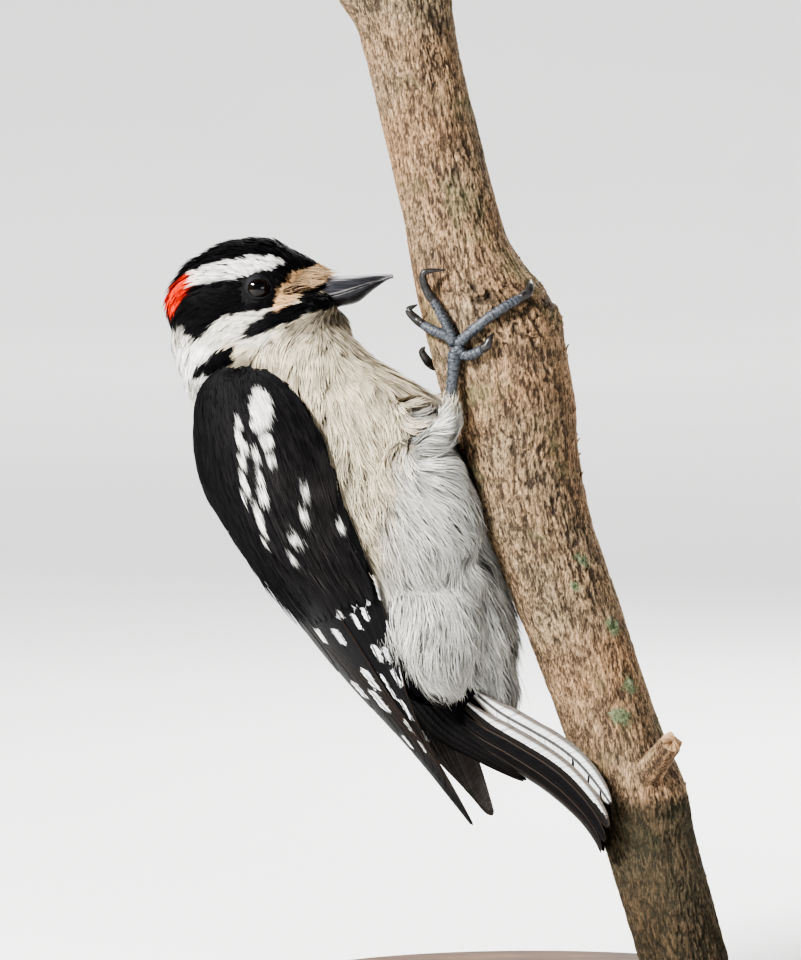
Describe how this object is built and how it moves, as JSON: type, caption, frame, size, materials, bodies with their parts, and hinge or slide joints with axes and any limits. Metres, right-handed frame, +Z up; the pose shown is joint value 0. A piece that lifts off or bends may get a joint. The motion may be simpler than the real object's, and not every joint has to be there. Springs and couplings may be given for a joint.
{
  "type": "woodpecker",
  "caption": "Life-size male downy woodpecker clinging to a leaning cut stem, still display model on a round wooden stand.",
  "frame": {"origin": "centre of the round stand base's underside, on the floor", "axes": "+Z up; +X from the bird's back towards the stem it clings to, the way its bill points; -Y is the side of the bird that the picture shows"},
  "size_m": [0.1309, 0.124, 0.197],
  "materials": {
    "feather_black": "soft black plumage with a faint gloss",
    "feather_white": "matt white to cream plumage",
    "feather_red": "matt scarlet plumage",
    "feather_buff": "buff bristle tufts over the nostrils",
    "bill": "slate horn with a dull gloss",
    "eye": "dark brown glass, glossy",
    "leg_skin": "blue-grey scaled skin",
    "claw": "dark horn with a dull gloss",
    "bark": "rough weathered bark, dry",
    "stand_wood": "dark turned wood, satin varnish",
    "rod_steel": "brushed steel"
  },
  "bodies": {
    "root": {"bill_lower": "bill", "bill_upper": "bill", "claw_left_1": "claw", "claw_left_2": "claw", "claw_left_3": "claw", "claw_left_4": "claw", "claw_right_1": "claw", "claw_right_2": "claw", "claw_right_3": "claw", "claw_right_4": "claw", "eye_left": "eye", "eye_right": "eye", "head": "feather_black", "neck": "feather_white", "perch": "bark", "rump": "feather_white", "stand_base": "stand_wood", "stand_rod_1": "rod_steel", "stand_rod_2": "rod_steel", "tail_left_1": "feather_black", "tail_left_2": "feather_black", "tail_left_3": "feather_black", "tail_left_4": "feather_white", "tail_left_5": "feather_white", "tail_right_1": "feather_black", "tail_right_2": "feather_black", "tail_right_3": "feather_black", "tail_right_4": "feather_white", "tail_right_5": "feather_white", "tarsus_left": "leg_skin", "tarsus_right": "leg_skin", "thigh_left": "feather_white", "thigh_right": "feather_white", "toe_left_1": "leg_skin", "toe_left_2": "leg_skin", "toe_left_3": "leg_skin", "toe_left_4": "leg_skin", "toe_right_1": "leg_skin", "toe_right_2": "leg_skin", "toe_right_3": "leg_skin", "toe_right_4": "leg_skin", "trunk": "feather_white", "wing_left_coverts": "feather_black", "wing_left_primaries": "feather_black", "wing_left_secondaries": "feather_black", "wing_right_coverts": "feather_black", "wing_right_primaries": "feather_black", "wing_right_secondaries": "feather_black"}
  },
  "joints": []
}
